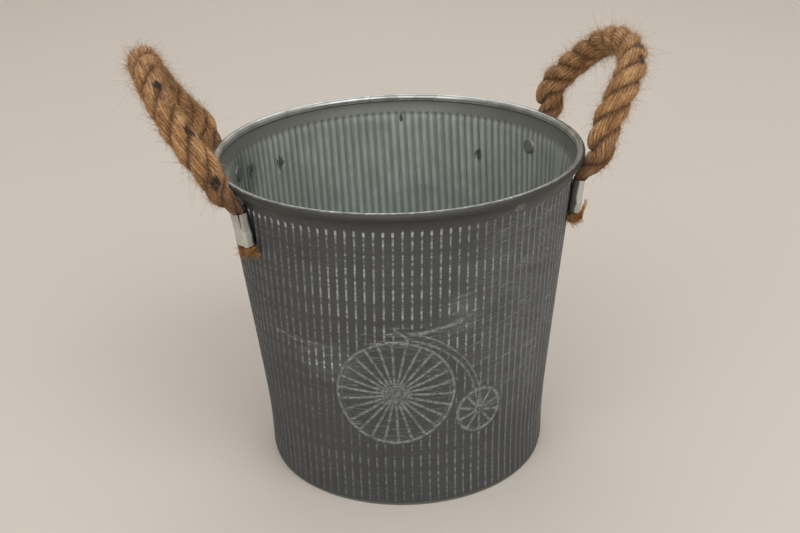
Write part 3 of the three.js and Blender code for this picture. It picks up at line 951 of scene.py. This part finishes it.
class Rope:
    """A handle's rope from one frayed end, through its sleeve, round the loop and into the other sleeve."""

    def __init__(self, x_sign, loop, radius, knots, seed):
        self.seed = seed
        self.radius = radius
        self.knots = knots
        self.front = clip_axes(x_sign, -1)
        self.back = clip_axes(x_sign, 1)
        levels = [-SLEEVE_HALF - ROPE_TAIL, -8.0, 0.0, 6.0, SLEEVE_HALF + 1.0]
        rise = from_clip(self.front, [(SLEEVE_MIDDLE, 0, w) for w in levels])
        fall = from_clip(self.back, [(SLEEVE_MIDDLE, 0, w) for w in levels[::-1]])
        controls = np.vstack([rise, loop, fall])
        self.points, self.along = smooth_path(controls, 0.9)
        self.length = self.along[-1]
        self.across, self.side = carried_frames(self.points, self.front[1])
        # Directions across the rope in which a sleeve presses it flat, and by how much of its width
        self.presses = []
        for axes in (self.front, self.back):
            height = (self.points - axes[0]) @ axes[3]
            near = np.linalg.norm(self.points - axes[0], axis=1) < 45
            pressed = smoothstep(SLEEVE_HALF + 23.0, SLEEVE_HALF + 0.5, height) * near
            spread = smoothstep(-SLEEVE_HALF, -SLEEVE_HALF - 2.0, height)
            self.presses.append((axes[1], pressed * (0.68 - 0.06 * spread)))
            self.presses.append((axes[2], pressed * (0.38 - 0.2 * spread)))

    def shaped(self, index, offsets):
        """Offsets from the centreline at these steps, pressed flat where the rope is in a sleeve."""
        result = offsets.copy()
        for direction, less in self.presses:
            part = offsets @ direction * less[index]
            result = result - part[:, None] * direction
        return result

    def clear_of_rim(self, points):
        """Moves points that would be inside the rolled rim or the wall out to its surface."""
        radial = np.hypot(points[:, 0], points[:, 1])
        dr, dz = radial - CURL_R, points[:, 2] - CURL_Z
        distance = np.hypot(dr, dz)
        clearance = CURL_RADIUS + RIM_GAP
        push = np.where(distance < clearance, clearance / np.maximum(distance, 1e-6), 1.0)
        new_radial = CURL_R + dr * push
        points[:, 2] = CURL_Z + dz * push
        wall = wall_radius(np.minimum(points[:, 2], CURL_Z)) + WALL_GAP
        below = points[:, 2] < CURL_Z
        new_radial = np.where(below, np.maximum(new_radial, wall), new_radial)
        points[:, :2] *= (new_radial / radial)[:, None]
        return points


def rope_strand(rope, number):
    """Points of one of the rope's strands, with their attributes, outward ways, steps and reach.

    A strand's section is a round lobe that fills its third of the rope, and its columns of points
    follow the yarns, which are twisted against the strands.
    """
    steps = len(rope.points)
    turn = 2 * pi * (number / STRANDS + rope.along / LAY_LENGTH)
    turn = turn + 0.2 * wavy(rope.along * 0.05, rope.seed)
    radial = np.cos(turn)[:, None] * rope.across + np.sin(turn)[:, None] * rope.side
    turning = np.cos(turn)[:, None] * rope.side - np.sin(turn)[:, None] * rope.across
    column = np.arange(STRAND_COLUMNS)
    which = column // YARN_SAMPLES
    ridge = np.sin(pi * (column % YARN_SAMPLES + 0.2) / (YARN_SAMPLES - 0.6))
    rng = np.random.default_rng(rope.seed * 10 + number)
    tint = rng.uniform(0, 1, YARNS)[which]
    proud = rng.normal(0, 0.12, YARNS)[which]
    along = rope.along[:, None]
    yarn_angle = 2 * pi * column / STRAND_COLUMNS
    psi = yarn_angle - 2 * pi * along / YARN_LAY
    psi = psi + 0.12 * wavy(along * 0.12 + which * 1.7, rope.seed + 40)
    swell = proud + 0.16 * wavy(along * 0.25 + which * 2.3, rope.seed + 20)
    swell = swell + 0.12 * wavy(along * 0.9 + which * 4.1, rope.seed + 25)
    radius = rope.radius * STRAND_RADIUS * (1 + 0.045 * wavy(along * 0.16 + number * 2.0, rope.seed + 30))
    radius = radius - YARN_LOBE * (1 - ridge) + swell * ridge
    x = rope.radius * STRAND_OFFSET + radius * np.cos(psi)
    y = 1.15 * radius * np.sin(psi)
    limit = tan(pi / STRANDS) * np.maximum(x, 0.05) + 0.03
    y = np.clip(y, -limit, limit)
    # Painted shade: which points lie on a strand's lower side, to be marked darker
    under = smoothstep(0.22, 0.95, y / limit * tangents_of(rope.points)[:, 2:3]).reshape(-1)
    offsets = (x[..., None] * radial[:, None] + y[..., None] * turning[:, None]).reshape(-1, 3)
    index = np.repeat(np.arange(steps), STRAND_COLUMNS)
    points = rope.clear_of_rim(rope.points[index] + rope.shaped(index, offsets))
    reach = np.hypot(x, y).reshape(-1) / rope.radius
    ridges = np.tile(ridge, steps)
    # How far out on the rope each point lies: low between strands and yarns and on the strands' lower sides,
    # where the jute paints shade
    depth = (0.1 + 0.9 * smoothstep(0.77, 0.98, reach)) * (0.42 + 0.58 * ridges) * (1 - 0.68 * under)
    yarn = np.stack([np.tile(yarn_angle * 4.6, steps), rope.along[index] + number * 70, depth], -1)
    # Painted shade on the rope's low parts, by the rim and near the sleeves
    low = smoothstep(PIVOT_Z + 12, PIVOT_Z - 8, points[:, 2])
    shade = np.stack([np.tile(tint, steps), knot_weight(rope, points), low], -1)
    return points, yarn, shade, unit(offsets), index, reach


def knot_weight(rope, points):
    """How burnt the jute is at each point, from its dark knots."""
    weight = np.zeros(len(points))
    for centre, size in rope.knots:
        distance = np.linalg.norm((points - np.array(centre)) * np.array([1, 1, 0.7]), axis=1)
        distance = distance + 0.8 * wavy(points @ np.array([1.9, 1.1, 0.7]), rope.seed + 60)
        weight = np.maximum(weight, smoothstep(size, size * 0.55, distance))
    return weight


def rope_object(name, rope, material):
    strands = [rope_strand(rope, number) for number in range(STRANDS)]
    points, yarn, shade, outward, index, reach = (np.concatenate(parts) for parts in zip(*strands))
    rope.skin = points, outward, index, reach
    faces = closed_tubes(STRANDS, len(rope.points), STRAND_COLUMNS)
    return make_object(name, points, faces, [material], None, {"yarn": yarn, "tint": shade})


def hairs_object(name, hairs, rng, material, segments=3, clear=None):
    """Many thin bent fibres in one mesh, each a tapering three-sided tube.

    The hairs are their roots, directions, lengths, thicknesses and curls. Their points are moved
    clear of the wall if there is a function for that.
    """
    roots, directions, lengths, thickness, curl = hairs
    t = np.linspace(0, 1, segments + 1)
    bend = unit(rng.normal(size=roots.shape))
    droop = unit(rng.normal(size=roots.shape))
    reach = lengths[:, None] * t
    sag = curl[:, None] * reach * t
    lines = roots[:, None] + directions[:, None] * reach[..., None]
    lines = lines + bend[:, None] * sag[..., None] + droop[:, None] * (0.5 * sag * t)[..., None]
    side = unit(np.cross(directions, bend))
    other = unit(np.cross(directions, side))
    taper = thickness[:, None] * (1 - 0.7 * t)
    corners = []
    for angle in (0, 2 * pi / 3, 4 * pi / 3):
        ring = cos(angle) * side + sin(angle) * other
        corners.append(lines + taper[..., None] * ring[:, None])
    points = np.stack(corners, 2).reshape(-1, 3)
    if clear:
        points = clear(points)
    return make_object(name, points, closed_tubes(len(roots), segments + 1, 3), [material])


def rope_fuzz(name, rope, rng, material):
    """Loose fibres on the rope, most of them short and lying nearly flat, with a few long strays."""
    points, normals, index, reach = rope.skin
    margin = SLEEVE_HEIGHT + ROPE_TAIL + 2.0
    place = rope.along[index]
    bare = (reach > 0.8) & (place > margin) & (place < rope.length - margin)
    bare &= knot_weight(rope, points) < 0.2
    bare &= (points[:, 2] > FUZZ_FREE_Z) | (abs(points[:, 0]) > CURL_R)
    chosen = rng.choice(np.flatnonzero(bare), FUZZ_COUNT, replace=False)
    roots, outward, index = points[chosen], normals[chosen], index[chosen]
    ways = np.where(rng.uniform(size=FUZZ_COUNT) < 0.5, 1, -1)
    tangents = tangents_of(rope.points)[index] * ways[:, None]
    lean = 0.08 + rng.exponential(0.55, FUZZ_COUNT)
    sideways = np.cross(outward, tangents) * rng.normal(0, 0.55, FUZZ_COUNT)[:, None]
    directions = unit(outward * lean[:, None] + tangents + sideways)
    lengths = 0.9 + rng.gamma(1.6, 1.4, FUZZ_COUNT)
    lengths[:STRAY_COUNT] = rng.uniform(8, 13, STRAY_COUNT)
    thickness = rng.uniform(0.045, 0.105, FUZZ_COUNT)
    curl = rng.uniform(0.3, 1.3, FUZZ_COUNT)
    hairs = (roots - 0.1 * outward, directions, lengths, thickness, curl)
    return hairs_object(name, hairs, rng, material)


def frayed_end(name, rope, axes, upturned, rng, material):
    """The rope's cut end below its sleeve: a flat brush of curled yarns, with an upturned tuft if asked."""
    count = FRAYED_COUNT
    _, outward, sideways, upward = axes
    around = rng.uniform(0, 2 * pi, count)
    full = np.sqrt(rng.uniform(0.25, 1, count))
    level = rng.uniform(-ROPE_TAIL, -0.6, count) - SLEEVE_HALF
    cosine, sine = np.cos(around), np.sin(around)
    local = np.column_stack([SLEEVE_MIDDLE + 2.9 * full * cosine, 6.6 * full * sine, level])
    roots = from_clip(axes, local)
    away = cosine[:, None] * outward + sine[:, None] * sideways
    push = rng.uniform(0.0, 1.1, count)[:, None]
    curled = cosine[:, None] * sideways - sine[:, None] * outward
    directions = unit(away * push + 0.9 * curled - 0.6 * upward + 0.35 * rng.normal(size=(count, 3)))
    lengths = rng.uniform(1.0, 2.5, count)
    whole_yarn = rng.uniform(size=count) < 0.2
    yarn_width = rng.uniform(0.2, 0.38, count)
    thickness = np.where(whole_yarn, yarn_width, rng.uniform(0.07, 0.16, count))
    curl = rng.uniform(0.5, 1.6, count)
    if upturned:
        tuft = slice(TUFT_COUNT)
        start = from_clip(axes, [(SLEEVE_MIDDLE + 3.4, -1.5, -SLEEVE_HALF - 3.5)])
        roots[tuft] = start + rng.normal(0, 0.5, (TUFT_COUNT, 3))
        directions[tuft] = unit(0.25 * outward + upward + 0.05 * rng.normal(size=(TUFT_COUNT, 3)))
        lengths[tuft] = rng.uniform(4.0, 12.0, TUFT_COUNT)
        thickness[tuft] = rng.uniform(0.2, 0.45, TUFT_COUNT)
        curl[tuft] = rng.uniform(0.03, 0.2, TUFT_COUNT)
    hairs = (roots, directions, lengths, thickness, curl)
    return hairs_object(name, hairs, rng, material, 5, rope.clear_of_rim)


def stray_yarn(name, axes, rng, material):
    """One dark yarn caught over the sleeve's mouth, hanging down its front corner."""
    root = from_clip(axes, [(SLEEVE_MIDDLE + 3.1, 5.7, SLEEVE_HALF + 0.6)])
    direction = unit(-axes[3] - 0.04 * axes[2])[None]
    hairs = (root, direction, np.array([7.5]), np.array([0.45]), np.array([0.05]))
    return hairs_object(name, hairs, rng, material, 6)


# ---- stage

def make_stage():
    """A pale floor that curves up all round into a plain backdrop."""
    flat, bend, height = 2000, 700, 2600.0
    profile = [(0, 0.0), (300, 0.0), (1200, 0.0), (flat, 0.0)]
    for angle in np.radians(np.linspace(7.5, 90, 12)):
        profile.append((flat + bend * sin(angle), bend * (1 - cos(angle))))
    profile.append((flat + bend, height))
    stage = lathe("studio_floor", profile, floor_material(), 96, 80)


def area_light(name, place, size, power):
    """A round light that shines on the bucket's middle."""
    data = bpy.data.lights.new(name, "AREA")
    data.shape = "DISK"
    data.size = size
    data.energy = power
    data.color = (0.98, 1.0, 1.03)
    light = bpy.data.objects.new(name, data)
    light.location = place
    way = Vector((0, 0, 0.1)) - Vector(place)
    light.rotation_euler = way.to_track_quat("-Z", "Y").to_euler()
    bpy.context.scene.collection.objects.link(light)


def make_lights():
    world = bpy.data.worlds.new("studio")
    world.use_nodes = True
    background = world.node_tree.nodes["Background"]
    background.inputs["Color"].default_value = (0.965, 1.0, 1.04, 1)
    background.inputs["Strength"].default_value = 0.77
    bpy.context.scene.world = world
    area_light("key", (0.75, -1.5, 1.7), 1.8, 20)
    area_light("fill", (-0.9, -1.4, 1.4), 1.8, 14)
    area_light("back", (0.2, 1.4, 1.7), 1.4, 7)
    bpy.context.scene.view_settings.view_transform = "Standard"


# ---- assembly

def add_rope(side, x_sign, loop, radius, knots, seed):
    rope = Rope(x_sign, loop, radius, knots, seed)
    piece = rope_object(f"rope_{side}", rope, JUTE)
    rng = np.random.default_rng(seed)
    fuzz = rope_fuzz(f"rope_fibres_{side}", rope, rng, FIBRES)
    for thing in (piece, fuzz):
        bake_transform(thing)
    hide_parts(f"rope_loop_{side}", f"rope_end_{side}_front", f"rope_end_{side}_back")
    upturned = side == "right"
    loose = [
        frayed_end(f"frayed_end_{side}_front", rope, rope.front, upturned, rng, FRAYED),
        frayed_end(f"frayed_end_{side}_back", rope, rope.back, False, rng, FRAYED),
    ]
    if side == "left":
        loose.append(stray_yarn("stray_yarn_left", rope.front, rng, DARK_YARN))
    for thing in loose:
        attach(thing, "bucket")
    mouth = from_clip(rope.front, [(SLEEVE_MIDDLE, 0, SLEEVE_HALF)])[0]
    tuple(mouth * MM)


make_camera()

JUTE = jute("jute_rope", rgb(208, 168, 120), rgb(168, 124, 79), rgb(104, 70, 40))
FIBRES = loose_fibre("jute_fibres", rgb(210, 166, 114), rgb(142, 103, 64))
FRAYED = loose_fibre("jute_frayed", rgb(204, 150, 96), rgb(132, 84, 46))
DARK_YARN = loose_fibre("jute_dark_yarn", rgb(84, 60, 40), rgb(52, 38, 26))

RIGHT_KNOTS = [((130.8, -26.8, 237.8), 4.0), ((129.0, -34.4, 233.8), 3.0)]
LEFT_KNOTS = [((-128.7, -27.5, 239.5), 2.9), ((-114.5, -43.4, 219.7), 4.2), ((-104.7, -52.8, 193.3), 3.7)]
add_rope("right", 1, RIGHT_LOOP, RIGHT_ROPE_RADIUS, RIGHT_KNOTS, 3)
add_rope("left", -1, LEFT_LOOP, LEFT_ROPE_RADIUS, LEFT_KNOTS, 7)

RIM = rim_metal()
ZINC = bare_zinc()

front_skins = [rubbed_paint(True), galvanised_inside("galvanised_front", []), RIM, ZINC]
front = make_panel("front_wall", (-pi, 0.0), FRONT_LINE, 1.0, True, SEAM_LAP, front_skins)
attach(front, "bucket")
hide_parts("front_panel")

back_skins = [rubbed_paint(False), galvanised_inside("galvanised_back", SMUDGES), RIM, ZINC]
back = make_panel("back_wall", (0.0, pi), BACK_LINE, 0.1, False, 0.0, back_skins)
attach(back, "bucket")
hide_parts("back_panel")

base = make_base(ZINC)
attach(base, "bucket")
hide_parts("base_disc")

# The sleeves' zinc, with painted shade on their sides near the wall
SLEEVE_ZINC = bare_zinc("sleeve_zinc", (205, 205, 196), (168, 170, 162), 0.55, True)
RIVET_ZINC = bare_zinc("rivet_zinc", (150, 152, 144), (120, 123, 116), 0.8)
for x_sign, side in ((1, "right"), (-1, "left")):
    for y_sign, end in ((-1, "front"), (1, "back")):
        axes = clip_axes(x_sign, y_sign)
        # Each sleeve's painted shade reaches this far from its middle, further out on the right
        seed, shade_reach = 40 + 2 * x_sign + y_sign, x_sign - 0.4
        sleeve = make_sleeve(f"clip_{side}_{end}", axes, seed, shade_reach, SLEEVE_ZINC)
        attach(sleeve, "bucket")
        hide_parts(f"sleeve_{side}_{end}")
        rivet = make_rivet(f"rivet_head_{side}_{end}", axes, RIVET_ZINC)
        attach(rivet, "bucket")
        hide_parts(f"rivet_{side}_{end}")

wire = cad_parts["rim_wire"]
wire.data.materials.clear()
wire.data.materials.append(ZINC)

make_stage()
make_lights()
